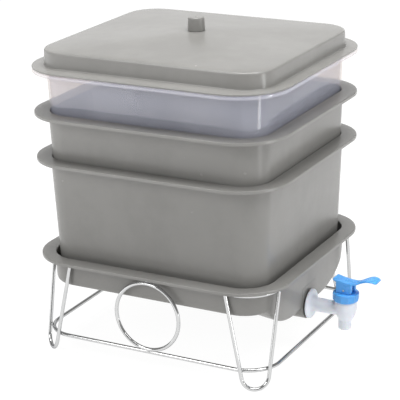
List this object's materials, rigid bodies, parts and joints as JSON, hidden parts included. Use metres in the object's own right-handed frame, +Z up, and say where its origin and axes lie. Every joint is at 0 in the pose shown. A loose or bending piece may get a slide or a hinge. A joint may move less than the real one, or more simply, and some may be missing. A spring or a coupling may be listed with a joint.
{
  "type": "worm composter",
  "caption": "Stacking worm composter: nested rectangular trays under a domed lid with a knob, a shallow sump tray with a lever tap, all on a low wire stand with hairpin legs.",
  "frame": {"origin": "on the floor, under the middle of the whole part with its tap; the stack's own axis is 38.25 mm to the -X side of it", "axes": "+Z up; +X to the end with the tap; -Y to the long front side with a wire circle"},
  "size_m": [0.4264, 0.322, 0.4293],
  "materials": {
    "wire": "bright plated wire",
    "grey_plastic": "satin moulded grey",
    "clear_plastic": "translucent, faintly blue",
    "steel": "plain stainless",
    "white_plastic": "smooth white",
    "blue_plastic": "smooth bright blue",
    "rubber": "black"
  },
  "bodies": {
    "stand": {"stand_top_ring": "wire", "stand_lower_ring": "wire", "leg_front_right": "wire", "leg_front_left": "wire", "leg_back_left": "wire", "leg_back_right": "wire", "circle_front": "wire", "circle_back": "wire", "base_tray": "grey_plastic", "tap_body": "white_plastic", "tap_outer_washer": "rubber", "tap_inner_washer": "rubber", "tap_nut": "white_plastic", "tap_collar": "blue_plastic", "stem_gland": "white_plastic"},
    "lower": {"lower_tray": "grey_plastic"},
    "upper": {"upper_tray": "grey_plastic"},
    "feed": {"feed_tray": "clear_plastic"},
    "cover": {"lid": "grey_plastic", "lid_knob": "grey_plastic", "knob_screw": "steel"},
    "stem": {"valve_stem": "white_plastic", "valve_plug": "rubber", "valve_spring": "steel", "lever_pin": "steel"},
    "lever": {"tap_lever": "blue_plastic"}
  },
  "joints": [
    {"name": "lower_tray_lift", "type": "slide", "parent": "stand", "child": "lower", "axis": [0, 0, 1], "range_m": [0, 0.05]},
    {"name": "upper_tray_lift", "type": "slide", "parent": "lower", "child": "upper", "axis": [0, 0, 1], "range_m": [0, 0.12]},
    {"name": "feed_tray_lift", "type": "slide", "parent": "upper", "child": "feed", "axis": [0, 0, 1], "range_m": [0, 0.12]},
    {"name": "lid_lift", "type": "slide", "parent": "feed", "child": "cover", "axis": [0, 0, 1], "range_m": [0, 0.06]},
    {"name": "stem_lift", "type": "slide", "parent": "stand", "child": "stem", "axis": [0, 0, 1], "range_m": [0, 0.0029], "stiffness_N_per_m": 400, "springref_m": -0.008, "deforming": ["valve_spring"]},
    {"name": "lever_tip", "type": "hinge", "parent": "stem", "child": "lever", "pos_m": [0.16925, 0, 0.0942], "axis": [0, 1, 0], "range_deg": [0, 25]}
  ],
  "couplings": [
    {"joint": "lever_tip", "follows": "stem_lift", "rad_per_m": 150}
  ]
}
